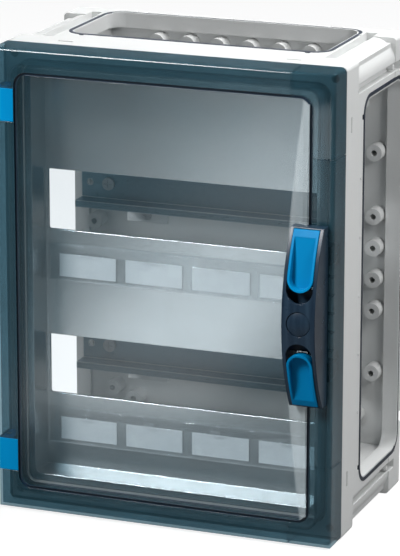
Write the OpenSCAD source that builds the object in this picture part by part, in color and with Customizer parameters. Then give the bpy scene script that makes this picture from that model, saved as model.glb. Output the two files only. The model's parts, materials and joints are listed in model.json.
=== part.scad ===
// DIN rail enclosure: moulded body with four open walls, hinged clear door with a bow handle,
// protection cover with two module slots, and two rails on brackets.
// Origin: centre of the rear mounting face. +X right, +Y into the wall, +Z up. Millimetres.

/* [Overall] */
// Width of the body and the closed door
body_w = 270; // [240:5:330]
// Height of the body and the closed door
body_h = 360; // [330:5:420]
// Depth from the rear face to the front of the door
total_d = 163; // [150:1:190]
// Thickness of the body's walls
wall_t = 4; // [3:0.5:5]
// Thickness of the body's back wall
back_t = 4; // [3:0.5:6]

/* [Front frame] */
// Depth of the front frame, outside
frame_d = 26.5; // [22:0.5:32]
// Width of the front frame, outside edge to mouth
frame_w = 16; // [15:0.5:18]
// Depth of the frame's front section, which the cover clips behind
frame_front_d = 18; // [15:0.5:20]
// How far the walls between the frames stand back
waist_step = 0.6; // [0.2:0.1:1.5]
// Radius of the corner posts
post_r = 17; // [12:0.5:19]

/* [Wall openings] */
// Width of each side opening, along the depth
side_open_w = 87; // [70:1:88]
// Height of each side opening
side_open_h = 292; // [240:2:294]
// Width of the top and bottom openings
top_open_w = 203; // [160:1:204]
// Corner radius of the openings
open_r = 11; // [6:1:16]
// Distance from the rear face to the middle of the openings
open_mid = 52; // [50:0.5:56]
// Depth of the collar inside each opening, from the outer face
collar_d = 12; // [8:1:16]
// Width of the seal round each opening
seal_w = 2.6; // [2:0.1:3]

/* [Corner grooves] */
// Width of the grooves beside the side openings
side_groove_w = 7; // [5:0.5:8]
// Distance from the mid height to the side grooves
side_groove_z = 158; // [157.5:0.5:159.5]
// Width of the grooves beside the top and bottom openings
top_groove_w = 9; // [6:0.5:10]
// Distance from the mid width to the top grooves
top_groove_x = 112.3; // [111.5:0.1:113]
// Depth of the corner grooves
groove_depth = 6; // [3:0.5:7]

/* [Wall fixing] */
// Hole spacing across the width
fix_x = 252; // [250:1:254]
// Hole spacing along the height
fix_z = 342; // [340:1:344]
// Hole diameter
fix_d = 6.5; // [4.5:0.5:7]

/* [Plate bosses] */
// Diameter of the bosses on the back wall
boss_d = 13; // [10:0.5:14]
// Height of the bosses
boss_h = 12; // [6:1:13]
// Screw hole in the bosses
boss_hole_d = 4.5; // [3:0.5:6]
// Grid that the bosses keep to
boss_pitch = 25; // [20:1:27]
// Distance from the mid width to the boss columns
boss_column_x = 115.5; // [112:0.5:117]
// Distance from the mid height to the boss rows
boss_row_z = 160; // [152:0.5:162]

/* [Door] */
// Depth of the door tray
door_d = 22.5; // [20:0.5:26]
// Wall thickness of the door
door_t = 3; // [2:0.25:4]
// Taper of the door's sides
door_draft = 0.9; // [0:0.1:2]
// Radius of the door's front edge
door_edge_r = 2.6; // [1:0.1:4]
// Gap between the door and the body
door_gap = 0.5; // [0.3:0.1:1]
// Half width of the window, to the middle of its groove
window_x = 116; // [110:0.5:117]
// Half height of the window, to the middle of its groove
window_z = 160.7; // [150:0.5:162]
// Width of the groove round the window
window_groove_w = 2; // [1.2:0.1:2.5]
// Depth of the groove round the window
window_groove_d = 1.6; // [0.8:0.1:2]
// Left end of the corner covers
corner_x = 100.2; // [90:0.5:105]
// Inner end of the corner covers, from the mid height
corner_z = 116; // [100:1:130]
// Door opening angle
door_open_deg = 115; // [90:1:115]

/* [Door arch] */
// Left edge of the arch beside the handle, at mid height
arch_x = 103; // [100:0.5:106]
// Radius of the arch
arch_r = 3340; // [3000:20:4200]
// Slope of the arch
arch_deg = 24; // [16:1:34]
// Half height of the arch
arch_half_z = 156; // [140:1:157]

/* [Handle] */
// Left side of the handle
handle_x0 = 104.5; // [100:0.5:108]
// Width of the handle
handle_w = 25.5; // [24:0.5:26]
// Half height of the handle
handle_half_z = 67.5; // [62:0.5:75]
// Height of the handle's ends above the door
handle_end_h = 9; // [8.5:0.5:12]
// Height of the handle's middle above the door
handle_mid_h = 28; // [24:0.5:32]
// Wall thickness of the handle
handle_t = 2.2; // [1.5:0.1:3]
// Length of each blue slider
slider_len = 43; // [36:0.5:46]
// Travel of each slider
slider_travel = 8; // [5:0.5:9]
// Thickness of the sliders
slider_t = 8; // [7:0.5:8.5]
// Diameter of the cap in the handle's middle
cap_d = 18; // [14:0.5:19]
// Depth of the finger scoop in each slider
scoop_depth = 4.6; // [2:0.2:5.4]

/* [Hinges] */
// Distance from the mid height to each hinge
hinge_z = 136.3; // [125:0.5:138]
// Height of the hinge blocks
hinge_h = 25; // [20:1:30]
// Right edge of the hinge blocks, from the left side
hinge_block_w = 17.5; // [14:0.5:18]
// Height of the body's hinge lugs
lug_h = 12; // [8:0.5:14]
// Diameter of the hinge pins
pin_d = 4; // [3:0.25:4.5]
// Running clearance of the pins, on the radius
pin_clear = 0.05; // [0.02:0.01:0.1]

/* [Protection cover] */
// Depth of the cover's face behind the front of the door
cover_depth = 43.5; // [36:0.5:48]
// Thickness of the cover
cover_t = 2.5; // [2:0.25:3]
// Taper of the tray's sides
cover_draft = 2.2; // [1:0.1:4]
// Width of the module slots
slot_w = 218; // [180:2:219]
// Height of the module slots
slot_h = 47; // [44:0.5:50]
// Height of the upper slot's middle above the mid height
slot_upper_z = 56; // [50:1:66]
// Height of the lower slot's middle above the mid height
slot_lower_z = -74; // [-80:1:-68]

/* [Labels] */
// Gap between a slot and the label strip below it
strip_gap = 11; // [8:0.5:14]
// Height of the label strips
strip_h = 28; // [24:0.5:30]
// Thickness of the label strips
strip_t = 3; // [2:0.25:4]
// Width of a label card
card_w = 46; // [38:0.5:50]
// Height of a label card
card_h = 17.5; // [12:0.5:18]
// Spacing of the label cards
card_pitch = 54; // [51:0.5:55]
// Left edge of the first card, from the mid width
card_x0 = -100; // [-104:0.5:-98]

/* [Rails] */
// Length of the rails
rail_len = 214; // [180:2:216]
// Distance from the front of the door to the rails' lips
rail_depth = 89.5; // [80:0.5:98]
// Spacing of the rail brackets
bracket_spacing = 148; // [130:2:160]
// Width of a rail bracket
bracket_w = 34; // [26:1:36]
// Height of a rail bracket's foot
bracket_foot_h = 86; // [60:2:88]

/* [Hidden] */
$fn = 48;

// clearances
eps = 0.01;
slide_gap = 0.3;
line_gap = 0.8;
over = 1;

// main planes and half sizes
hx = body_w / 2;
hz = body_h / 2;
door_front = -total_d;
door_rear = door_front + door_d;
rim_front = door_rear + door_gap;
frame_rear = rim_front + frame_d;
frame_back = rim_front + frame_front_d;
mouth_x = hx - frame_w;
mouth_z = hz - frame_w - 1;
cavity_x = hx - wall_t;
cavity_z = hz - wall_t;
rear_rim_d = 12.5;
foot_d = 26.5;
foot_size = 30;
foot_r = 3;
rim_r = 4;

// openings and seals
seal_mid = 1.3 + seal_w / 2;
seal_proud = -0.2;
seal_depth = 2.6;
seat_fit = 0.05;
open_y0 = -open_mid - side_open_w / 2;
top_open_d = side_open_w - 2;
top_open_mid = open_mid - 1;
collar_t = 3;
top_open_y0 = -top_open_mid - top_open_d / 2;
notch_z = 135;
notch_w = 4;
notch_d = 3;
notch_l = 6.5;
top_notch_x = 90;
rear_notch_z = [-124, -34, 34, 124];
rear_notch_x = [-79, 0, 79];
rear_notch_l = 3.2;

// corner pillars
pillar_x = top_open_w / 2 + seal_mid + 0.4;
pillar_z = side_open_h / 2 + seal_mid + 0.4;
pillar_t = 2.8;
groove_front_gap = 1;
groove_rear_gap = 2;

// extra bosses in the corners of the back wall
corner_bosses = [[101, 124], [83, 131]];

// marks on the front frame, relief in the rear face
mark_l = 12;
mark_w = 2.5;
mark_d = 0.8;
mark_y = rim_front + 10.5;
land_w = 8;
relief_x = 108;
relief_z = 142;
relief_d = 1.2;

// pips beside the side openings
pip_pitch = notch_z / 3;
pip_d = 2.4;
pip_low = 0.1;
pip_offset = 8.5;

// studs in the side grooves
stud_d = 4;
stud_y = -29.5;
stud_low = 0.8;

// keeper pockets in the front frame
keeper_x0 = hx - 8.5;
keeper_w = 4.5;
keeper_d = 9;

// cover
flange_t = 2.5;
flange_gap = 0.5;
cover_fit = 0.3;
ledge_w = 2.8;
cover_face = door_front + cover_depth;
tray_x = mouth_x - flange_gap - 5.3;
tray_z = mouth_z - flange_gap - 5.3;
hook_z = [-110, -40, 30, 100];
hook_x = [-70, 70];
hook_y0 = frame_back + 0.2;
hook_t = 2;
hook_w = 12;
hook_bite = 1.2;
tray_r = 5;
slot_r = 1.5;

// labels
slots = [slot_upper_z, slot_lower_z];
strip_w = slot_w + 2;
card_t = 0.5;
card_pocket_d = 0.9;
card_gap = 0.3;
card_z_offset = 2.6;
clip_w = 9;
clip_h = 2.4;
clip_d = 0.8;
clip_shift = 3;
clip_drop = 5;

// rails: 35 mm top-hat section, 15 mm deep
rail_h = 35;
rail_d = 15;
rail_t = 1.5;
rail_web_h = 27;
rail_lip = door_front + rail_depth;
rail_web = rail_lip + rail_d;
rail_end_hole_x = rail_len / 2 - 7;
rail_screw_x = bracket_spacing / 2 + 10;
bracket_t = 3;
bracket_top_h = 32;
foot_screw_z = bracket_foot_h / 2 - 6;
bracket_root_z = bracket_foot_h / 2 - 14;
rail_end_hole_d = 5;
rail_hole_d = 4.4;
bracket_hole_d = 3.6;
foot_hole_d = 4.2;

// pan-head screws: shank diameter, head diameter, head height, shank length
rail_screw = [3.4, 10, 2.6, 8];
foot_screw = [4, 7.5, 2.4, bracket_t];
handle_screw = [2.5, 6, 2, 10];
cross_w = 0.9;
cross_d = 1;

// hinge
axis_x = -hx + 5;
axis_y = rim_front - 11;
lug_r = 4.2;
neck_w = 7;
knuckle_gap = 0.3;
lug_gap = 0.5;
pin_fit = 0.02;
neck_side = neck_w / 2 + 0.4;
sweep_l = 20;
skirt_clear_r = 10.5;

// door
door_corner_r = 4.5;
window_r = 9;
hinge_gap = 0.2;

// door rib that carries the door seal
rib_x0 = 120.5;
rib_z0 = rib_x0 - window_x + window_z;
rib_t = 2;
rib_r = 8;
rib_mid_w = 2 * rib_x0 + rib_t;
rib_mid_h = 2 * rib_z0 + rib_t;
arch_t = 2.4;
latch_rib_pitch = 14;
latch_rib_t = 1;
latch_rib_h = 8;
door_seal_w = 3;
door_seal_h = 2.2;
door_seal_gap = 0.3;
rib_rear = rim_front - door_seal_gap - door_seal_h;

// handle and latch
handle_x1 = handle_x0 + handle_w;
handle_reach = 40;
handle_mid_x = handle_x0 + handle_w / 2;
handle_rise = handle_mid_h - handle_end_h;
handle_r = (handle_half_z * handle_half_z + handle_rise * handle_rise) / (2 * handle_rise);
handle_centre_y = door_front - handle_mid_h + handle_r;
slider_side = 2.6;
slider_x0 = handle_x0 + slider_side + slide_gap;
slider_x1 = handle_x1 - slider_side - slide_gap;
slider_z1 = handle_half_z - 1.2;
slider_z0 = slider_z1 - slider_len;
slider_proud = 0.6;
scoop_rim = 1.9;
scoop_end = 5;
slider_r = (handle_w - 2 * slider_side - 2 * slide_gap) / 2;
stem_x0 = 123.4;
stem_x1 = 127;
stem_z0 = 40;
stem_z1 = 48;
foot_y0 = door_front - 15;
foot_y1 = door_front - 2;
foot_x0 = handle_mid_x - 6;
bolt_y0 = door_front + door_t + 1.5;
bolt_y1 = rim_front - 5;
nose_y1 = rim_front + 6;
nose_x0 = keeper_x0 + 0.5;
nose_x1 = keeper_x0 + keeper_w - 0.7;
centre_block_z = 12.5;
spring_r = 3.2;
spring_wire = 0.8;
spring_turns = 7;
spring_y = door_front - 6.8;
handle_floor_y = door_front - 14;
handle_floor_t = 1.5;
handle_foot = 1;
handle_screw_x = handle_mid_x - 4;
handle_screw_z = 7;
handle_hole_d = 3.2;
handle_core_d = 2.6;
stem_gap = 0.4;
bolt_over = 3;

// cap in the handle's middle
cap_y = door_front - handle_mid_h + 2;
cap_gap = 0.2;
cap_top = 3;
cap_rise = 1.8;
cap_dome_r = (cap_d * cap_d / 4 + cap_rise * cap_rise) / (2 * cap_rise);

module rounded_rect(w, h, r) {
    square([w - 2 * r, h], center = true);
    square([w, h - 2 * r], center = true);
    for (x = [-1, 1], y = [-1, 1])
        translate([x * (w / 2 - r), y * (h / 2 - r)]) circle(r);
}

// 2D shapes in X and Z, given a depth from y0 to y1
module along_y(y0, y1) {
    translate([0, y1, 0]) rotate([90, 0, 0]) linear_extrude(y1 - y0) children();
}

// 2D shapes in Y and Z, given a width from x0 to x1
module along_x(x0, x1) {
    translate([x0, 0, 0]) rotate([90, 0, 90]) linear_extrude(x1 - x0) children();
}

// 2D shapes in X and Y, given a height from z0 to z1
module along_z(z0, z1) {
    translate([0, 0, z0]) linear_extrude(z1 - z0) children();
}

module block(x0, x1, y0, y1, z0, z1) {
    translate([x0, y0, z0]) cube([x1 - x0, y1 - y0, z1 - z0]);
}

module rod_y(x, z, d, y0, y1) {
    translate([x, y1, z]) rotate([90, 0, 0]) cylinder(d = d, h = y1 - y0);
}

module four_corners() {
    for (sx = [-1, 1], sz = [-1, 1])
        mirror([sx < 0 ? 1 : 0, 0, 0]) mirror([0, 0, sz < 0 ? 1 : 0]) children();
}

module both_sides() {
    children();
    mirror([1, 0, 0]) children();
}

module top_and_bottom() {
    children();
    mirror([0, 0, 1]) children();
}

// ---- body ----

module base_outside() {
    along_y(rim_front, frame_rear) rounded_rect(body_w, body_h, rim_r);
    along_y(frame_rear - eps, 0)
        rounded_rect(body_w - 2 * waist_step, body_h - 2 * waist_step, post_r);
    along_y(-rear_rim_d, 0) rounded_rect(body_w, body_h, foot_r + 3);
    intersection() {
        along_y(-foot_d, 0) rounded_rect(body_w, body_h, foot_r);
        four_corners() block(hx - foot_size, hx + over, -foot_d - over, over, hz - foot_size, hz + over);
    }
}

module side_opening(w, h, r) {
    translate([-open_mid, 0]) rounded_rect(w, h, r);
}

module top_opening(w, d, r) {
    translate([0, -top_open_mid]) rounded_rect(w, d, r);
}

// corner pillars stand between the openings and carry the outer grooves
module pillar() {
    block(pillar_x, cavity_x + eps, frame_back - eps, -back_t + eps, pillar_z, cavity_z + eps);
}

module pillar_cuts() {
    // cored pocket
    block(pillar_x + pillar_t, hx - groove_depth - pillar_t - waist_step, frame_back - over, -2 * back_t,
        pillar_z + pillar_t, hz - groove_depth - pillar_t - waist_step);
    // outer grooves
    block(hx - groove_depth, hx + over, frame_rear + groove_front_gap, -rear_rim_d - groove_rear_gap,
        side_groove_z - side_groove_w / 2, side_groove_z + side_groove_w / 2);
    block(top_groove_x - top_groove_w / 2, top_groove_x + top_groove_w / 2,
        frame_rear, -rear_rim_d - groove_rear_gap, hz - groove_depth, hz + over);
    // wall fixing hole
    rod_y(fix_x / 2, fix_z / 2, fix_d, rim_front - over, over);
}

module boss(x, z) {
    rod_y(x, z, boss_d, -back_t - boss_h, -back_t + eps);
}

module boss_places() {
    for (x = [-2.5:1:2.5], s = [-1, 1])
        translate([x * boss_pitch, 0, s * boss_row_z]) children();
    for (k = [-3.5, -1.5, -0.5, 0.5, 1.5, 3.5], s = [-1, 1])
        translate([s * boss_column_x, 0, k * boss_pitch]) children();
    for (p = corner_bosses) four_corners() translate([p[0], 0, p[1]]) children();
}

module lug(z) {
    along_z(z - lug_h / 2, z + lug_h / 2) {
        translate([axis_x, axis_y]) circle(lug_r);
        translate([axis_x - neck_w / 2, axis_y]) square([neck_w, rim_front - axis_y + eps]);
    }
}

// stud that stands in each side groove
module groove_stud() {
    translate([hx - groove_depth - eps, stud_y, side_groove_z])
        rotate([0, 90, 0]) cylinder(d = stud_d, h = groove_depth - stud_low);
}

module enclosure_base() color("#d6dad9") {
    base_cut();
    four_corners() groove_stud();
}

module base_cut() difference() {
    union() {
        difference() {
            base_outside();
            // main cavity, mouth and cover ledge
            along_y(frame_back, -back_t) square([2 * cavity_x, 2 * cavity_z], center = true);
            along_y(rim_front + flange_t, frame_back + eps)
                rounded_rect(2 * (mouth_x - ledge_w), 2 * (mouth_z - ledge_w), rim_r);
            along_y(rim_front - over, rim_front + flange_t + eps)
                rounded_rect(2 * mouth_x, 2 * mouth_z, 6);
            // keeper pockets for the latch bolts
            top_and_bottom() block(keeper_x0, keeper_x0 + keeper_w, rim_front - over, rim_front + keeper_d,
                stem_z0 - slider_travel - slide_gap, stem_z1 + slide_gap);
        }
        four_corners() pillar();
        // collars round the openings
        both_sides() along_x(hx - collar_d, cavity_x + eps) difference() {
            side_opening(side_open_w + 2 * collar_t, side_open_h + 2 * collar_t, open_r + collar_t);
            translate([-back_t, 0]) translate([0, -hz]) square([back_t + over, body_h]);
        }
        top_and_bottom() along_z(hz - collar_d, cavity_z + eps) difference() {
            top_opening(top_open_w + 2 * collar_t, top_open_d + 2 * collar_t, open_r + collar_t);
            translate([-hx, -back_t]) square([body_w, back_t + over]);
        }
        boss_places() boss(0, 0);
        lug(hinge_z);
        lug(-hinge_z);
        // locating pips beside the side openings
        both_sides() for (k = [-2:2]) translate([hx - waist_step, open_y0 - pip_offset, k * pip_pitch])
            rotate([0, 90, 0]) cylinder(d = pip_d, h = waist_step - pip_low);
    }
    four_corners() pillar_cuts();
    // room for the cover's tray between the pillars
    tapered_box(tray_x + cover_t + cover_fit, tray_z + cover_t + cover_fit, cover_draft,
        rim_front - over, cover_face + cover_t + cover_fit);
    // wall openings
    both_sides() along_x(hx - collar_d - over, hx + over) side_opening(side_open_w, side_open_h, open_r);
    top_and_bottom() along_z(hz - collar_d - over, hz + over) top_opening(top_open_w, top_open_d, open_r);
    // seal seats
    both_sides() seal_side_shape(seat_fit, over);
    top_and_bottom() seal_top_shape(seat_fit, over);
    // coupling notches beside the seals
    both_sides() for (z = [-notch_z, notch_z])
        block(hx - notch_d, hx + over, open_y0 - notch_l, open_y0 - 1, z - notch_w / 2, z + notch_w / 2);
    both_sides() for (z = rear_notch_z)
        block(hx - notch_d, hx + over, -rear_notch_l, over, z - notch_w, z + notch_w);
    top_and_bottom() for (x = [-top_notch_x, top_notch_x])
        block(x - notch_w / 2, x + notch_w / 2, top_open_y0 - notch_l, top_open_y0 - 1,
            hz - notch_d, hz + over);
    top_and_bottom() for (x = rear_notch_x)
        block(x - notch_w, x + notch_w, -rear_notch_l, over, hz - notch_d, hz + over);
    // boss screw holes
    boss_places() rod_y(0, 0, boss_hole_d, -back_t - boss_h - over, -back_t);
    // hinge pin bores
    translate([axis_x, axis_y, -hz]) cylinder(r = pin_d / 2 + pin_clear, h = body_h);
    // shallow grip marks on the front frame
    four_corners() {
        block(top_notch_x - mark_l / 2, top_notch_x + mark_l / 2, mark_y, mark_y + mark_w,
            hz - mark_d, hz + over);
        block(hx - mark_d, hx + over, mark_y, mark_y + mark_w,
            notch_z - mark_l / 2, notch_z + mark_l / 2);
    }
    // relief panels in the rear face, between the cross of lands
    four_corners() block(land_w, relief_x, -relief_d, over, land_w, relief_z);
}

// seal rings; fit widens them on both sides for their seats
module seal_side_shape(fit, proud) {
    outer = seal_mid + seal_w / 2 + fit;
    inner = seal_mid - seal_w / 2 - fit;
    along_x(hx - seal_depth - waist_step, hx + proud) difference() {
        side_opening(side_open_w + 2 * outer, side_open_h + 2 * outer, open_r + outer);
        side_opening(side_open_w + 2 * inner, side_open_h + 2 * inner, open_r + inner);
    }
}

module seal_top_shape(fit, proud) {
    outer = seal_mid + seal_w / 2 + fit;
    inner = seal_mid - seal_w / 2 - fit;
    along_z(hz - seal_depth - waist_step, hz + proud) difference() {
        top_opening(top_open_w + 2 * outer, top_open_d + 2 * outer, open_r + outer);
        top_opening(top_open_w + 2 * inner, top_open_d + 2 * inner, open_r + inner);
    }
}

module seal_right() color("#343a44") seal_side_shape(0, seal_proud);
module seal_left() color("#343a44") mirror([1, 0, 0]) seal_side_shape(0, seal_proud);
module seal_top() color("#343a44") seal_top_shape(0, seal_proud);
module seal_bottom() color("#343a44") mirror([0, 0, 1]) seal_top_shape(0, seal_proud);

// ---- protection cover ----

// tapered box: half sizes at the mouth, taper and depth
module tapered_box(x, z, taper, y0, y1) {
    intersection() {
        along_z(-z - over, z + over) polygon([[-x, y0], [x, y0], [x - taper, y1], [-(x - taper), y1]]);
        along_x(-x - over, x + over) polygon([[y0, -z], [y0, z], [y1, z - taper], [y1, -(z - taper)]]);
    }
}

module protection_cover() color("#b9bfbf") difference() {
    union() {
        along_y(rim_front, rim_front + flange_t)
            rounded_rect(2 * (mouth_x - flange_gap), 2 * (mouth_z - flange_gap), 6);
        tapered_box(tray_x + cover_t, tray_z + cover_t, cover_draft, rim_front, cover_face + cover_t);
        // snap hooks behind the front frame
        both_sides() for (z = hook_z)
            block(tray_x - cover_draft, mouth_x - ledge_w + hook_bite, hook_y0, hook_y0 + hook_t,
                z - hook_w / 2, z + hook_w / 2);
        top_and_bottom() for (x = hook_x)
            block(x - hook_w / 2, x + hook_w / 2, hook_y0, hook_y0 + hook_t,
                tray_z - cover_draft, mouth_z - ledge_w + hook_bite);
    }
    intersection() {
        tapered_box(tray_x, tray_z, cover_draft, rim_front - eps, cover_face);
        along_y(rim_front - over, cover_face + over) rounded_rect(2 * tray_x, 2 * tray_z, tray_r);
    }
    for (z = slots) translate([0, 0, z])
        along_y(cover_face - over, cover_face + cover_t + over) rounded_rect(slot_w, slot_h, slot_r);
}

function strip_z(z) = z - slot_h / 2 - strip_gap - strip_h / 2;
function card_x(i) = card_x0 + card_w / 2 + i * card_pitch;
function card_z(z) = strip_z(z) - strip_h / 2 + card_z_offset + card_h / 2;

module label_strip(z) color([0.86, 0.9, 0.92, 0.5]) difference() {
    union() {
        translate([0, 0, strip_z(z)]) along_y(cover_face - strip_t, cover_face)
            square([strip_w, strip_h], center = true);
        // clip tabs above the cards
        for (i = [0:3]) translate([card_x(i) - clip_shift, 0, strip_z(z) + strip_h / 2 - clip_drop])
            along_y(cover_face - strip_t - clip_d, cover_face - strip_t + eps)
                rounded_rect(clip_w, clip_h, clip_h / 2 - eps);
    }
    for (i = [0:3]) translate([card_x(i), 0, card_z(z)])
        along_y(cover_face - card_pocket_d, cover_face + over)
            square([card_w + 2 * card_gap, card_h + 2 * card_gap], center = true);
}

module label_strip_upper() label_strip(slot_upper_z);
module label_strip_lower() label_strip(slot_lower_z);

module label_card(i, z) color("#f4f6f7")
    translate([card_x(i), 0, card_z(z)]) along_y(cover_face - card_t, cover_face)
        square([card_w, card_h], center = true);

// ---- rails ----

module rail_section() {
    inner = rail_web_h / 2 - rail_t;
    outer = rail_web_h / 2;
    lip = rail_h / 2;
    web = rail_d - rail_t;
    polygon([[0, -lip], [0, -inner], [web, -inner], [web, inner], [0, inner], [0, lip],
        [rail_t, lip], [rail_t, outer], [rail_d, outer], [rail_d, -outer], [rail_t, -outer], [rail_t, -lip]]);
}

module din_rail(z) color("#c3c9cc") difference() {
    translate([0, 0, z]) along_x(-rail_len / 2, rail_len / 2) translate([rail_lip, 0]) rail_section();
    both_sides() {
        rod_y(rail_end_hole_x, z, rail_end_hole_d, rail_web - rail_t - over, rail_web + over);
        rod_y(rail_screw_x, z, rail_hole_d, rail_web - rail_t - over, rail_web + over);
    }
}

module din_rail_upper() din_rail(slot_upper_z);
module din_rail_lower() din_rail(slot_lower_z);

module rail_bracket(side, z) color("#e3e6e6") difference() {
    translate([side * bracket_spacing / 2, 0, z]) {
        block(-bracket_w / 2, bracket_w / 2, rail_web, rail_web + bracket_t,
            -bracket_top_h / 2, bracket_top_h / 2);
        block(-bracket_w / 2, bracket_w / 2, -back_t - bracket_t, -back_t,
            -bracket_foot_h / 2, bracket_foot_h / 2);
        for (s = [-1, 1]) translate([s * (bracket_w / 2 - bracket_t / 2), 0, 0])
            along_x(-bracket_t / 2, bracket_t / 2) polygon([
                [rail_web, -bracket_top_h / 2], [rail_web, bracket_top_h / 2],
                [-back_t, bracket_root_z], [-back_t, -bracket_root_z]]);
    }
    rod_y(side * rail_screw_x, z, bracket_hole_d, rail_web - over, rail_web + bracket_t + over);
    for (s = [-1, 1])
        rod_y(side * bracket_spacing / 2, z + s * foot_screw_z, foot_hole_d,
            -back_t - bracket_t - over, over);
}

module rail_bracket_1() rail_bracket(-1, slot_upper_z);
module rail_bracket_2() rail_bracket(1, slot_upper_z);
module rail_bracket_3() rail_bracket(-1, slot_lower_z);
module rail_bracket_4() rail_bracket(1, slot_lower_z);

// pan-head screw, head towards the door, shank along +Y from the seat
module pan_screw(x, z, seat_y, size) {
    difference() {
        union() {
            rod_y(x, z, size[1], seat_y - size[2], seat_y);
            rod_y(x, z, size[0], seat_y - eps, seat_y + size[3]);
        }
        translate([x, seat_y - size[2], z]) for (a = [0, 90]) rotate([0, a, 0])
            cube([0.6 * size[1], 2 * cross_d, cross_w], center = true);
    }
}

module rail_screws() color("#9aa1a6") for (z = slots, s = [-1, 1])
    pan_screw(s * rail_screw_x, z, rail_web - rail_t, rail_screw);

module bracket_screws() color("#9aa1a6") for (z = slots, s = [-1, 1], t = [-1, 1])
    pan_screw(s * bracket_spacing / 2, z + t * foot_screw_z, -back_t - bracket_t, foot_screw);

// ---- door ----

// section of the door tray: half width, and its depth from the front face
module door_section(half) {
    front = half - door_draft;
    translate([-(front - door_edge_r), door_front]) square([2 * (front - door_edge_r), door_d]);
    polygon([[-front, door_front + door_edge_r], [front, door_front + door_edge_r],
        [half, door_rear], [-half, door_rear]]);
    for (s = [-1, 1]) translate([s * (front - door_edge_r), door_front + door_edge_r]) circle(door_edge_r);
}

module door_outside() intersection() {
    along_z(-hz, hz) door_section(hx);
    along_x(-hx, hx) rotate([0, 0, 90]) mirror([0, 1]) door_section(hz);
    along_y(door_front - over, door_rear + over) rounded_rect(body_w, body_h, door_corner_r);
    // left edge is rounded to clear the body as the door swings
    along_z(-hz - over, hz + over) union() {
        translate([axis_x, door_front - over]) square([body_w, total_d]);
        translate([-hx - over, door_front - over]) square([hx + over, axis_y - door_front + over]);
        translate([axis_x, axis_y]) circle(skirt_clear_r);
    }
}

module door_inside() tapered_box(hx - door_t, hz - door_t, -door_draft / 2,
    door_front + door_t, door_rear + over);

module window_2d(grow, r) {
    rounded_rect(2 * (window_x + grow), 2 * (window_z + grow), r);
}

// outline of one corner cover; gap trims it on its inner sides
module corner_2d(gap) difference() {
    translate([corner_x + gap, corner_z + gap]) square([hx - corner_x + over, hz - corner_z + over]);
    window_2d(window_groove_w / 2, window_r + window_groove_w / 2);
}

module corner_zone(gap) along_y(door_front - over, door_rear + over) corner_2d(gap);

module hinge_zone(z, gap) {
    block(-hx - over, -hx + hinge_block_w + gap, door_front - over, door_front + door_t,
        z - hinge_h / 2 - gap, z + hinge_h / 2 + gap);
    block(-hx - over, -rib_x0 - rib_t / 2 - door_seal_w / 2 - slide_gap, door_front - over, door_rear + over,
        z - hinge_h / 2 - gap, z + hinge_h / 2 + gap);
}

// arch: a large tilted cylinder that rises from the window towards the handle
module arch_solid(shift) {
    right = window_x - window_groove_w / 2 - 2 * shift;
    intersection() {
        translate([arch_x, door_front + shift, 0]) rotate([0, 0, -arch_deg]) translate([0, arch_r, 0])
            rotate([0, 90, 0]) cylinder(r = arch_r, h = hx, center = true, $fn = 720);
        along_z(-arch_half_z + shift, arch_half_z - shift) polygon([
            [arch_x - 1, door_front + door_t], [arch_x - 1, door_front - handle_reach],
            [right, door_front - handle_reach], [right, door_front + door_t]]);
    }
}

module handle_zone(grow) {
    block(handle_x0 - grow, handle_x1, door_front - handle_reach, door_front + eps,
        -handle_half_z - grow, handle_half_z + grow);
}

module door_panel() color([0.45, 0.58, 0.62, 0.55]) difference() {
    union() {
        difference() {
            door_outside();
            door_inside();
            top_and_bottom() corner_zone(0);
            // groove round the window
            along_y(door_front - over, door_front + window_groove_d) difference() {
                window_2d(window_groove_w / 2, window_r + window_groove_w / 2);
                window_2d(-window_groove_w / 2, window_r - window_groove_w / 2);
            }
        }
        // rib that carries the door seal
        along_y(door_front + door_t, rib_rear) difference() {
            rounded_rect(2 * (rib_x0 + rib_t), 2 * (rib_z0 + rib_t), rib_r + rib_t);
            rounded_rect(2 * rib_x0, 2 * rib_z0, rib_r);
        }
        arch_solid(0);
        // stiffening ribs beside the latch
        for (k = [-2:2]) translate([0, 0, k * latch_rib_pitch])
            block(rib_x0 + rib_t - eps, hx - door_t, door_front + door_t - eps,
                door_front + door_t + latch_rib_h, -latch_rib_t / 2, latch_rib_t / 2);
    }
    // hollow behind the arch
    difference() {
        arch_solid(arch_t);
        block(0, hx, door_front + door_t, 0, -hz, hz);
    }
    translate([0, door_t, 0]) intersection() {
        arch_solid(arch_t);
        block(0, hx, door_front - door_t - eps, door_front + eps, -hz, hz);
    }
    handle_zone(slide_gap);
    hinge_zone(hinge_z, hinge_gap);
    hinge_zone(-hinge_z, hinge_gap);
    // latch slots and handle screw holes
    top_and_bottom() block(stem_x0 - stem_gap, stem_x1 + stem_gap,
        door_front - over, door_front + door_t + over,
        stem_z0 - slider_travel - slide_gap, stem_z1 + slide_gap);
    for (s = [-1, 1])
        rod_y(handle_screw_x, s * handle_screw_z, handle_hole_d,
            door_front - over, door_front + door_t + over);
}

module corner_cover() color([0.42, 0.52, 0.57, 0.6]) intersection() {
    difference() {
        door_outside();
        door_inside();
    }
    corner_zone(line_gap);
}

module corner_cover_top() corner_cover();
module corner_cover_bottom() mirror([0, 0, 1]) corner_cover();

module door_seal() color("#2e3640") along_y(rib_rear, rib_rear + door_seal_h) difference() {
    mid = rib_r + rib_t / 2;
    rounded_rect(rib_mid_w + door_seal_w, rib_mid_h + door_seal_w, mid + door_seal_w / 2);
    rounded_rect(rib_mid_w - door_seal_w, rib_mid_h - door_seal_w, mid - door_seal_w / 2);
}

// ---- hinges ----

// far side of the lug's neck, seen from the open door
function lug_swept(l) = [-neck_side * cos(door_open_deg) - l * sin(door_open_deg),
    -neck_side * sin(door_open_deg) + l * cos(door_open_deg)];

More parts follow.
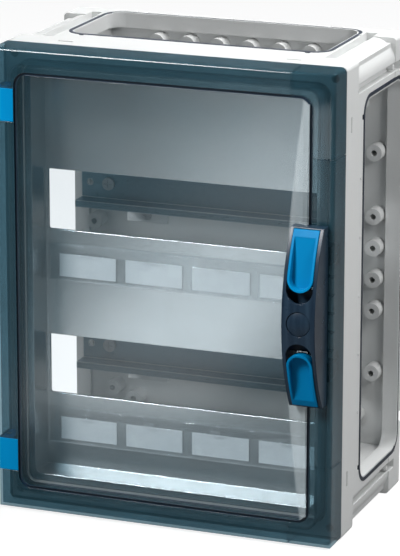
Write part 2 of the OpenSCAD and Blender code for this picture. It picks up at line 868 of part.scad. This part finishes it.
module hinge_block(z) color("#0f7fc4") difference() {
    intersection() {
        door_outside();
        hinge_zone(z, 0);
    }
    // pocket that the lug sweeps as the door opens
    translate([axis_x, axis_y, z - lug_h / 2 - knuckle_gap]) linear_extrude(lug_h + 2 * knuckle_gap) {
        circle(lug_r + lug_gap);
        polygon([[neck_side, 0], [neck_side, sweep_l], [-sweep_l, sweep_l],
            lug_swept(sweep_l), lug_swept(0)]);
    }
    translate([axis_x, axis_y, z - hinge_h]) cylinder(r = pin_d / 2 + pin_fit, h = 2 * hinge_h);
}

module hinge_block_upper() hinge_block(hinge_z);
module hinge_block_lower() hinge_block(-hinge_z);

module hinge_pin(z) color("#c7ccd0")
    translate([axis_x, axis_y, z - hinge_h / 2]) cylinder(d = pin_d, h = hinge_h);

module hinge_pin_upper() hinge_pin(hinge_z);
module hinge_pin_lower() hinge_pin(-hinge_z);

// ---- handle and latch ----

// section of the bow, in Y and Z; inset gives the hollow's section
module bow_2d(inset) intersection() {
    translate([handle_centre_y, 0]) circle(handle_r - inset, $fn = 240);
    translate([door_front - handle_reach, -handle_half_z + inset])
        square([handle_reach, 2 * (handle_half_z - inset)]);
}

module door_handle() color([0.1, 0.15, 0.22]) difference() {
    union() {
        difference() {
            along_x(handle_x0, handle_x1) bow_2d(0);
            along_x(handle_x0 + handle_t, handle_x1 - handle_t) bow_2d(handle_t);
        }
        // centre block and the floor below the sliders' inner ends
        intersection() {
            block(handle_x0 + handle_t / 2, handle_x1 - handle_t / 2, door_front - handle_reach, door_front,
                -centre_block_z, centre_block_z);
            along_x(handle_x0, handle_x1) bow_2d(handle_t / 2);
        }
        block(handle_x0 + handle_t / 2, handle_x1 - handle_t / 2,
            handle_floor_y - handle_floor_t, handle_floor_y, -slider_z0, slider_z0);
    }
    // wells of the sliders, with a round inner end
    top_and_bottom() {
        along_y(door_front - handle_reach, handle_floor_y - handle_floor_t) {
            translate([0, -slider_travel]) slider_2d(slide_gap, slider_z1);
            slider_2d(slide_gap, slider_z1 + slide_gap);
        }
        block(slider_x0 - slide_gap, slider_x1 + slide_gap,
            door_front - handle_reach, door_front - handle_foot, slider_z0, slider_z1 + slide_gap);
    }
    // seat of the cap and the screw holes
    rod_y(handle_mid_x, 0, cap_d + 2 * cap_gap, door_front - handle_mid_h - over, cap_y);
    for (s = [-1, 1])
        rod_y(handle_screw_x, s * handle_screw_z, handle_core_d,
            door_front - handle_screw[3], door_front + over);
}

module handle_cap() color([0.05, 0.08, 0.12]) translate([handle_mid_x, cap_y, 0])
    rotate([90, 0, 0]) intersection() {
        cylinder(d = cap_d, h = cap_top);
        translate([0, 0, cap_top - cap_dome_r]) sphere(r = cap_dome_r, $fn = 96);
    }

// distance of the bow's face from the door's rear, at height z
function bow_y(z) = handle_centre_y - sqrt(handle_r * handle_r - z * z);

// plan of a slider: square outer end, round inner end; grow widens it
module slider_2d(grow, z1) {
    translate([handle_mid_x, slider_z0 + slider_r]) circle(slider_r + grow);
    translate([handle_mid_x - slider_r - grow, slider_z0 + slider_r])
        square([2 * (slider_r + grow), z1 - slider_z0 - slider_r]);
}

module latch_slider() color("#1f86c8") difference() {
    union() {
        intersection() {
            along_x(slider_x0, slider_x1) difference() {
                translate([handle_centre_y, 0]) circle(handle_r + slider_proud, $fn = 240);
                translate([handle_centre_y, 0]) circle(handle_r - slider_t, $fn = 240);
            }
            along_y(door_front - handle_reach, door_front - handle_foot - slide_gap) slider_2d(0, slider_z1);
        }
        // foot that the spring pushes, and the stem that passes through the door
        block(foot_x0, stem_x1, foot_y0, foot_y1, stem_z0, stem_z1);
        block(stem_x0, stem_x1, foot_y1 - eps, bolt_y0, stem_z0, stem_z1);
    }
    // finger scoop: a sloping floor, deepest at the round inner end
    intersection() {
        along_y(door_front - handle_reach, door_front) slider_2d(-scoop_rim, slider_z1);
        along_x(handle_x0, handle_x1) polygon([
            [door_front - handle_reach, slider_z0], [bow_y(slider_z0) + scoop_depth, slider_z0],
            [bow_y(slider_z1 - scoop_end) - slider_proud - eps, slider_z1 - scoop_end],
            [door_front - handle_reach, slider_z1 - scoop_end]]);
    }
}

module latch_slider_upper() latch_slider();
module latch_slider_lower() mirror([0, 0, 1]) latch_slider();

module latch_bolt() color("#4a525c") {
    block(stem_x0, nose_x1, bolt_y0, bolt_y1, stem_z0 - bolt_over, stem_z1 + bolt_over);
    block(nose_x0, nose_x1, bolt_y1 - eps, nose_y1, stem_z0, stem_z1);
}

module latch_bolt_upper() latch_bolt();
module latch_bolt_lower() mirror([0, 0, 1]) latch_bolt();

// coil spring between the handle's centre block and the slider's foot
spring_z0 = centre_block_z;
spring_len = stem_z0 - spring_z0;
spring_steps = 10;
spring_sides = 6;

function coil_point(k) = let(a = 360 * k / spring_steps, t = k / (spring_turns * spring_steps))
    [spring_r * cos(a), spring_r * sin(a), spring_wire / 2 + t * (spring_len - spring_wire)];

module latch_spring() color("#b8bdc2") translate([handle_mid_x, spring_y, spring_z0]) {
    rings = spring_turns * spring_steps;
    points = [for (k = [0:rings]) let(a = 360 * k / spring_steps, c = coil_point(k))
        for (j = [0:spring_sides - 1]) let(b = 360 * j / spring_sides)
            c + spring_wire / 2 * [cos(b) * cos(a), cos(b) * sin(a), sin(b)]];
    sides = [for (k = [0:rings - 1], j = [0:spring_sides - 1])
        let(a = k * spring_sides, b = a + spring_sides, n = (j + 1) % spring_sides)
            each [[a + j, b + j, b + n], [a + j, b + n, a + n]]];
    first = [for (j = [0:spring_sides - 1]) j];
    last = [for (j = [spring_sides - 1:-1:0]) rings * spring_sides + j];
    polyhedron(points, concat(sides, [first, last]));
}

module latch_spring_upper() latch_spring();
module latch_spring_lower() mirror([0, 0, 1]) latch_spring();

module handle_screws() color("#9aa1a6") for (s = [-1, 1])
    mirror([0, 1, 0]) pan_screw(handle_screw_x, s * handle_screw_z, -door_front - door_t, handle_screw);

enclosure_base();
seal_top();
seal_bottom();
seal_left();
seal_right();
protection_cover();
label_strip_upper();
label_strip_lower();
label_card(0, slot_upper_z);  // label_card_1
label_card(1, slot_upper_z);  // label_card_2
label_card(2, slot_upper_z);  // label_card_3
label_card(3, slot_upper_z);  // label_card_4
label_card(0, slot_lower_z);  // label_card_5
label_card(1, slot_lower_z);  // label_card_6
label_card(2, slot_lower_z);  // label_card_7
label_card(3, slot_lower_z);  // label_card_8
din_rail_upper();
din_rail_lower();
rail_bracket_1();
rail_bracket_2();
rail_bracket_3();
rail_bracket_4();
rail_screws();
bracket_screws();
door_panel();
door_seal();
corner_cover_top();
corner_cover_bottom();
hinge_block_upper();
hinge_block_lower();
hinge_pin_upper();
hinge_pin_lower();
door_handle();
handle_cap();
handle_screws();
latch_spring_upper();
latch_spring_lower();
latch_slider_upper();
latch_slider_lower();
latch_bolt_upper();
latch_bolt_lower();
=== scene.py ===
import json
import math
import bmesh
import bpy
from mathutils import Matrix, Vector


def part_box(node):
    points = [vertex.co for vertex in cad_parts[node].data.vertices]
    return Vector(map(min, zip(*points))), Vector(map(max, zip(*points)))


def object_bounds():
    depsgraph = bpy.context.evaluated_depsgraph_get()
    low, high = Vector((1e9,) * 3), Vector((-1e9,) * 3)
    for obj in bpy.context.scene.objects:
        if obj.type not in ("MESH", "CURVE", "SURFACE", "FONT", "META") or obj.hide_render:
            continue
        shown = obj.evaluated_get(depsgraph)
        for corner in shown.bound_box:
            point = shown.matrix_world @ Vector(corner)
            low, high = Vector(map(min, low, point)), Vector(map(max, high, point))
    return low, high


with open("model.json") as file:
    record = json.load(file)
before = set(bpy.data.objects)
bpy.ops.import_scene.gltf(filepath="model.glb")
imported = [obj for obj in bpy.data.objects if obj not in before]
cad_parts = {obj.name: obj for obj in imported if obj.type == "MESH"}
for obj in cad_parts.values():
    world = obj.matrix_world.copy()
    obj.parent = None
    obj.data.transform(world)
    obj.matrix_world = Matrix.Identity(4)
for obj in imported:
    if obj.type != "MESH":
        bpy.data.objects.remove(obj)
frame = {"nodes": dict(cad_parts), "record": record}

cad_box = [list(corner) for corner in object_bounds()]
MM = 0.001
nodes = frame["nodes"]
scene = bpy.context.scene


# ---- sizes taken from the frame ----

body_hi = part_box("enclosure_base")[1]
door_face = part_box("corner_cover_top")[0].y
window_x = body_hi.x - 19 * MM      # half the clear window's width
window_z = body_hi.z - 19.3 * MM    # half its height
window_r = 9 * MM                   # its corner radius
groove = 2 * MM                     # width of the dark line painted round it as the groove's shadow


# ---- node helpers ----

def new_material(name):
    mat = bpy.data.materials.new(name)
    mat.use_nodes = True
    nt = mat.node_tree
    nt.nodes.clear()
    out = nt.nodes.new("ShaderNodeOutputMaterial")
    return mat, nt, out


def node(nt, kind, **inputs):
    """Adds a node. Inputs go by name or as i0, i1 and so on; a socket is linked, any other value is set."""
    n = nt.nodes.new(kind)
    for key, value in inputs.items():
        socket = n.inputs[int(key[1:])] if key[1:].isdigit() else n.inputs[key.replace("_", " ")]
        if isinstance(value, bpy.types.NodeSocket):
            nt.links.new(value, socket)
        else:
            socket.default_value = value
    return n


def calc(nt, operation, a, b=0.0):
    n = node(nt, "ShaderNodeMath", i0=a, i1=b)
    n.operation = operation
    return n.outputs[0]


def place(nt):
    return nt.nodes.new("ShaderNodeTexCoord").outputs["Object"]


def stretched(nt, scale):
    """Object coordinates scaled along each axis."""
    return node(nt, "ShaderNodeMapping", Vector=place(nt), Scale=scale).outputs[0]


def blend(nt, factor, first, second):
    """Mixes two colours, each a tuple or a socket."""
    n = nt.nodes.new("ShaderNodeMix")
    n.data_type = "RGBA"
    for socket, value in ((n.inputs[0], factor), (n.inputs[6], first), (n.inputs[7], second)):
        if isinstance(value, bpy.types.NodeSocket):
            nt.links.new(value, socket)
        elif isinstance(value, tuple):
            socket.default_value = (*value, 1)
        else:
            socket.default_value = value
    return n.outputs[2]


def noise(nt, scale, detail=3.0, vector=None):
    return node(nt, "ShaderNodeTexNoise", Vector=vector or place(nt), Scale=scale, Detail=detail).outputs[0]


def ramp(nt, value, low, high, to_low=0.0, to_high=1.0):
    return node(nt, "ShaderNodeMapRange", Value=value, From_Min=low, From_Max=high,
                To_Min=to_low, To_Max=to_high).outputs[0]


def shade(colour, k):
    return tuple(min(1.0, c * k) for c in colour)


def worn_edge(nt, radius):
    """Normals rounded over a small radius, as a moulded or rolled edge is."""
    return node(nt, "ShaderNodeBevel", Radius=radius).outputs[0]


def grain(nt, scale, depth, vector=None, detail=2.0, edge=0.0):
    """Fine bumps of the given depth in metres, over edges of the given radius."""
    bump = node(nt, "ShaderNodeBump", Height=noise(nt, scale, detail, vector), Distance=depth)
    if edge:
        nt.links.new(worn_edge(nt, edge), bump.inputs["Normal"])
    return bump.outputs[0]


# ---- finishes ----

def moulded_plastic(name, colour, rough, grain_depth=0.00002, drift=0.03, edge=0.0007, gloss=0.5,
                    metal=0.0, wear=0.055):
    """Injection-moulded plastic: a fine spark-eroded grain, a slow drift of tone and dust in it."""
    mat, nt, out = new_material(name)
    tone = blend(nt, noise(nt, 9), shade(colour, 1 - drift), shade(colour, 1 + drift))
    dusty = blend(nt, ramp(nt, noise(nt, 420, 5), 0.62, 0.75, 0, 0.35), tone, shade(colour, 0.86))
    bsdf = node(nt, "ShaderNodeBsdfPrincipled", Base_Color=dusty,
                Roughness=ramp(nt, noise(nt, 40, 4), 0.3, 0.7, rough - wear, rough + wear),
                Normal=grain(nt, 1600, grain_depth, edge=edge))
    bsdf.inputs["Specular IOR Level"].default_value = gloss
    bsdf.inputs["Metallic"].default_value = metal
    nt.links.new(bsdf.outputs[0], out.inputs[0])
    return mat


def soft_rubber(name, colour):
    """Matt black-blue rubber with a fine skin."""
    mat, nt, out = new_material(name)
    bsdf = node(nt, "ShaderNodeBsdfPrincipled",
                Base_Color=blend(nt, noise(nt, 60), shade(colour, 0.8), shade(colour, 1.25)),
                Roughness=ramp(nt, noise(nt, 200), 0.3, 0.7, 0.5, 0.7),
                Normal=grain(nt, 2500, 0.00005, edge=0.0008))
    nt.links.new(bsdf.outputs[0], out.inputs[0])
    return mat


def zinc_plated(name, colour, along, edge=0.0004, painted_edge_highlight=None):
    """Zinc-plated steel with fine rolling streaks; given a colour for them, its edges are painted bright as a
    highlight.
    """
    mat, nt, out = new_material(name)
    streak = stretched(nt, along)
    tone = blend(nt, noise(nt, 90, 4, streak), shade(colour, 0.84), shade(colour, 1.12))
    metal = 1.0
    if painted_edge_highlight:
        # painted highlight: a pale colour laid along the rounded edges, less metallic there
        turn = nt.nodes.new("ShaderNodeVectorMath")
        turn.operation = "DOT_PRODUCT"
        nt.links.new(worn_edge(nt, 0.0012), turn.inputs[0])
        nt.links.new(nt.nodes.new("ShaderNodeNewGeometry").outputs["Normal"], turn.inputs[1])
        edge_highlight_mask = ramp(nt, turn.outputs["Value"], 0.995, 0.9)
        tone = blend(nt, edge_highlight_mask, tone, painted_edge_highlight)
        metal = ramp(nt, edge_highlight_mask, 0.0, 1.0, 1.0, 0.4)
    bsdf = node(nt, "ShaderNodeBsdfPrincipled", Base_Color=tone, Metallic=metal,
                Roughness=ramp(nt, noise(nt, 120, 3, streak), 0.3, 0.7, 0.24, 0.42),
                Normal=grain(nt, 700, 0.00002, streak, edge=edge))
    nt.links.new(bsdf.outputs[0], out.inputs[0])
    return mat


def card_stock(name, colour):
    """Matt card with a slight fibre."""
    mat, nt, out = new_material(name)
    bsdf = node(nt, "ShaderNodeBsdfPrincipled",
                Base_Color=blend(nt, noise(nt, 300, 5), shade(colour, 0.96), colour),
                Roughness=0.7, Normal=grain(nt, 4000, 0.00002))
    nt.links.new(bsdf.outputs[0], out.inputs[0])
    return mat


def clear_wall(nt, tint, haze, haze_amount, gloss_rough, ior, normal):
    """One skin of a clear wall: tinted and slightly milky, and mirrored alike from either side."""
    through = node(nt, "ShaderNodeBsdfTransparent", Color=tint)
    milk = node(nt, "ShaderNodeBsdfDiffuse", Color=haze)
    body = node(nt, "ShaderNodeMixShader", i0=haze_amount, i1=through.outputs[0], i2=milk.outputs[0])
    gloss = node(nt, "ShaderNodeBsdfGlossy", Color=(1, 1, 1, 1), Roughness=gloss_rough)
    facing = node(nt, "ShaderNodeLayerWeight", Blend=0.5)
    nt.links.new(normal, gloss.inputs["Normal"])
    nt.links.new(normal, facing.inputs["Normal"])
    head_on = ((ior - 1) / (ior + 1)) ** 2
    mirrored = ramp(nt, calc(nt, "POWER", facing.outputs["Facing"], 5.0), 0.0, 1.0, head_on, 1.0)
    return node(nt, "ShaderNodeMixShader", i0=mirrored, i1=body.outputs[0], i2=gloss.outputs[0]).outputs[0]


def from_window(nt):
    """Distance outside the window's round-cornered outline, negative inside, and the point's x, y and z."""
    xyz = node(nt, "ShaderNodeSeparateXYZ", Vector=place(nt))
    dx = calc(nt, "SUBTRACT", calc(nt, "ABSOLUTE", xyz.outputs[0]), window_x - window_r)
    dz = calc(nt, "SUBTRACT", calc(nt, "ABSOLUTE", xyz.outputs[2]), window_z - window_r)
    px = calc(nt, "MAXIMUM", dx, 0.0)
    pz = calc(nt, "MAXIMUM", dz, 0.0)
    round_part = calc(nt, "SQRT", calc(nt, "ADD", calc(nt, "MULTIPLY", px, px), calc(nt, "MULTIPLY", pz, pz)))
    flat_part = calc(nt, "MINIMUM", calc(nt, "MAXIMUM", dx, dz), 0.0)
    return calc(nt, "SUBTRACT", calc(nt, "ADD", round_part, flat_part), window_r), xyz.outputs


def grip_sheen_mask(nt, x, z, distance):
    """1 inside the crescent at the handle's side of the clear window, where a pale milky haze is painted as
    the finger scoop's sheen, 0 elsewhere.
    """
    along = ramp(nt, calc(nt, "ABSOLUTE", z), 22 * MM, 155 * MM)
    inner_edge = ramp(nt, calc(nt, "POWER", along, 1.6), 0.0, 1.0, 98 * MM, 109.5 * MM)
    beyond = ramp(nt, calc(nt, "SUBTRACT", x, inner_edge), -0.3 * MM, 0.3 * MM)
    return calc(nt, "MULTIPLY", beyond, calc(nt, "LESS_THAN", distance, 0.0))


def tinted_door(name, window_tint, border_tint, groove_shadow_tint, haze):
    """Clear in the window, smokier on the border, with a pale sheen painted beside the handle and a shadow
    painted nearly black in the groove.
    """
    mat, nt, out = new_material(name)
    distance, (x, y, z) = from_window(nt)
    border = ramp(nt, distance, -1.0 * MM, 1.0 * MM)
    drift = noise(nt, 16, 2)
    smoky = blend(nt, drift, shade(border_tint, 0.92), shade(border_tint, 1.08))
    tint = blend(nt, border, window_tint, smoky)
    # painted shade: the groove round the window on the front skin is drawn as a near-black band
    near = calc(nt, "LESS_THAN", calc(nt, "ABSOLUTE", distance), 0.52 * groove)
    front = calc(nt, "MULTIPLY", calc(nt, "LESS_THAN", y, door_face + 2.2 * MM),
                 calc(nt, "GREATER_THAN", y, door_face + 0.05 * MM))
    painted_groove_shade = calc(nt, "MULTIPLY", near, front)
    # painted sheen: a pale milky haze beside the handle stands in for the light off the finger scoop
    painted_grip_sheen = grip_sheen_mask(nt, x, z, distance)
    haze_and_sheen = calc(nt, "ADD", ramp(nt, noise(nt, 30, 4), 0.3, 0.7, 0.02, 0.035),
                 calc(nt, "MULTIPLY", border, 0.03))
    haze_and_sheen = calc(nt, "ADD", haze_and_sheen, calc(nt, "MULTIPLY", painted_grip_sheen, 0.16))
    haze_and_grip_sheen = blend(nt, painted_grip_sheen, haze, (0.62, 0.7, 0.73))
    surface = clear_wall(nt, tint, haze_and_grip_sheen, haze_and_sheen, 0.22, 1.38,
                         normal=grain(nt, 14, 0.00006, detail=1.0, edge=0.0006))
    groove_shadow_shader = node(nt, "ShaderNodeBsdfPrincipled", Base_Color=(*groove_shadow_tint, 1), Roughness=0.35)
    whole = node(nt, "ShaderNodeMixShader", i0=painted_groove_shade, i1=surface, i2=groove_shadow_shader.outputs[0])
    nt.links.new(whole.outputs[0], out.inputs[0])
    return mat


def clear_plastic(name, tint, haze, amount, rough=0.05):
    """Clear plastic of one tint, with a slightly uneven haze."""
    mat, nt, out = new_material(name)
    cloudy = ramp(nt, noise(nt, 45, 4), 0.3, 0.7, 0.7 * amount, 1.3 * amount)
    surface = clear_wall(nt, (*tint, 1), (*haze, 1), cloudy, rough, 1.42,
                         normal=grain(nt, 30, 0.00005, detail=1.0, edge=0.0005))
    nt.links.new(surface, out.inputs[0])
    return mat


def glossy_plastic(name, colour, light, rough, streak=(1, 1, 1), edge=0.0008, gloss=0.3):
    """Smooth, deeply coloured plastic with a clear surface over faint flow lines."""
    mat, nt, out = new_material(name)
    flow = noise(nt, 26, 4, stretched(nt, streak))
    bsdf = node(nt, "ShaderNodeBsdfPrincipled",
                Base_Color=blend(nt, ramp(nt, flow, 0.35, 0.68), colour, light),
                Roughness=ramp(nt, noise(nt, 60, 3), 0.3, 0.7, rough - 0.04, rough + 0.05),
                Normal=grain(nt, 900, 0.000008, edge=edge))
    bsdf.inputs["Specular IOR Level"].default_value = gloss
    nt.links.new(bsdf.outputs[0], out.inputs[0])
    return mat


TEAL_HAZE = (0.1, 0.33, 0.44)
finish = {
    "body": moulded_plastic("light_grey_body_plastic", (0.66, 0.67, 0.665), 0.42),
    "seal": soft_rubber("slate_seal_rubber", (0.018, 0.025, 0.04)),
    "cover": moulded_plastic("grey_cover_plastic", (0.52, 0.55, 0.56), 0.26, 0.000012,
                             metal=0.95, wear=0.012),
    "clear_strip": clear_plastic("clear_label_strip", (0.95, 0.965, 0.97), (0.85, 0.88, 0.9), 0.15),
    "label_card": card_stock("white_label_card", (0.86, 0.88, 0.9)),
    "rail": zinc_plated("zinc_plated_rail", (0.18, 0.29, 0.36), (2, 60, 60), painted_edge_highlight=(0.8, 0.84, 0.86)),
    "bracket": moulded_plastic("bracket_plastic", (0.5, 0.52, 0.53), 0.45),
    "screw": zinc_plated("zinc_plated_screw", (0.5, 0.51, 0.53), (40, 40, 40), 0.0003),
    "door": tinted_door("tinted_door_plastic", (0.9, 0.92, 0.93), (0.47, 0.57, 0.61), (0.006, 0.02, 0.04),
                        TEAL_HAZE),
    "corner": clear_plastic("tinted_corner_plastic", (0.47, 0.57, 0.61), TEAL_HAZE, 0.055),
    "blue": glossy_plastic("blue_latch_plastic", (0.0, 0.15, 0.34), (0.0, 0.19, 0.42), 0.42, (1, 1, 0.3),
                           gloss=0.05),
    "pin": zinc_plated("drawn_steel_pin", (0.6, 0.61, 0.62), (60, 60, 3)),
    "handle": glossy_plastic("navy_handle_plastic", (0.005, 0.014, 0.028), (0.016, 0.034, 0.056), 0.3,
                             (7, 1, 0.5)),
    "spring": zinc_plated("spring_wire", (0.5, 0.5, 0.52), (30, 30, 30), 0.0001),
    "bolt": moulded_plastic("dark_bolt_plastic", (0.05, 0.06, 0.075), 0.4),
}
for entry in frame["record"]["subparts"]:
    cad = nodes[entry["node"]]
    cad.data.materials.clear()
    cad.data.materials.append(finish[entry["material_slot"]])


# ---- room, light and camera ----

def lamp(name, at, aim, width, height, power):
    """A rectangular soft box in metres and watts."""
    data = bpy.data.lights.new(name, "AREA")
    data.shape = "RECTANGLE"
    data.size = width
    data.size_y = height
    data.energy = power
    soft_box = bpy.data.objects.new(name, data)
    scene.collection.objects.link(soft_box)
    soft_box.location = at
    soft_box.rotation_euler = (Vector(aim) - Vector(at)).to_track_quat("-Z", "Y").to_euler()
    soft_box.visible_camera = False
    return soft_box


world = bpy.data.worlds.new("studio")
scene.world = world
world.use_nodes = True
wt = world.node_tree
wt.nodes.clear()
world_out = wt.nodes.new("ShaderNodeOutputWorld")
room = node(wt, "ShaderNodeBackground", Color=(0.9, 0.95, 1, 1), Strength=0.11)
white = node(wt, "ShaderNodeBackground", Color=(1, 1, 1, 1), Strength=1.0)
path = wt.nodes.new("ShaderNodeLightPath")
seen = calc(wt, "MAXIMUM", path.outputs["Is Camera Ray"], path.outputs["Is Transmission Ray"])
sky = node(wt, "ShaderNodeMixShader", i0=seen, i1=room.outputs[0], i2=white.outputs[0])
wt.links.new(sky.outputs[0], world_out.inputs[0])

def light_only(soft_box, group_name, wanted):
    """Lets a soft box light only the nodes whose name is wanted."""
    group = bpy.data.collections.new(group_name)
    for name, cad in nodes.items():
        if wanted(name):
            group.objects.link(cad)
    soft_box.light_linking.receiver_collection = group


floor_z = cad_box[0][2] - 0.5 * MM
middle = (0, (cad_box[0][1] + cad_box[1][1]) / 2, 0)
lamp("top_light", (0.25, 0.35, 1.4), middle, 1.0, 0.8, 16)
lamp("right_light", (0.75, -0.3, 0.55), (0.135, -0.07, 0.08), 0.35, 0.35, 3.8)
key_light = lamp("key_light", (-0.6, -1.1, 1.07), (-0.03, -0.12, -0.02), 0.4, 0.4, 38)

# a long soft box lying on the floor in front, turned a little, that shows as a sheen on the door and the cover
low_at = Vector((-0.225, -0.97, floor_z + 4.5 * MM))
low_light = lamp("low_light", low_at, low_at + Vector((0, 0, 1)), 0.17, 1.2, 1.25)
low_light.rotation_euler = (math.pi, 0, math.radians(-8))
low_light.visible_diffuse = False
light_only(low_light, "door_and_cover",
           lambda name: name.startswith(("door_panel", "corner_cover", "protection_cover", "label_strip")))
light_only(key_light, "all_but_the_base", lambda name: name != "enclosure_base")

# reaches the back wall through the device slots
inner_light = lamp("inner_light", (-0.28, -1.6, 0.5), (0, 0, 0), 0.3, 0.3, 5.5)
light_only(inner_light, "base_and_brackets", lambda name: name.startswith(("enclosure_base", "rail_bracket")))

floor_mat, ft, floor_out = new_material("pale_floor")
floor_skin = node(ft, "ShaderNodeBsdfDiffuse", Color=(0.45, 0.45, 0.45, 1))
floor_white = node(ft, "ShaderNodeEmission", Color=(1, 1, 1, 1), Strength=0.86)
nothing = node(ft, "ShaderNodeEmission", Color=(0, 0, 0, 1), Strength=0.0)
floor_path = ft.nodes.new("ShaderNodeLightPath")
floor_glow = node(ft, "ShaderNodeMixShader", i0=floor_path.outputs["Is Camera Ray"],
                  i1=nothing.outputs[0], i2=floor_white.outputs[0])
floor_sum = node(ft, "ShaderNodeAddShader", i0=floor_skin.outputs[0], i1=floor_glow.outputs[0])
ft.links.new(floor_sum.outputs[0], floor_out.inputs[0])
bm = bmesh.new()
bmesh.ops.create_grid(bm, x_segments=1, y_segments=1, size=6)
bmesh.ops.translate(bm, verts=bm.verts, vec=(0, 0, floor_z))
floor_mesh = bpy.data.meshes.new("floor")
bm.to_mesh(floor_mesh)
bm.free()
floor = bpy.data.objects.new("floor", floor_mesh)
scene.collection.objects.link(floor)
floor_mesh.materials.append(floor_mat)

camera_data = bpy.data.cameras.new("camera")
camera_data.lens = 212.8
camera_data.sensor_width = 36
camera_data.clip_end = 30
camera = bpy.data.objects.new("camera", camera_data)
scene.collection.objects.link(camera)
camera.location = (0.8693, -2.3274, 0.6693)
camera.rotation_euler = (math.pi / 2 - 0.2732, -0.001, 0.3698)
scene.camera = camera
scene.view_settings.view_transform = "Standard"
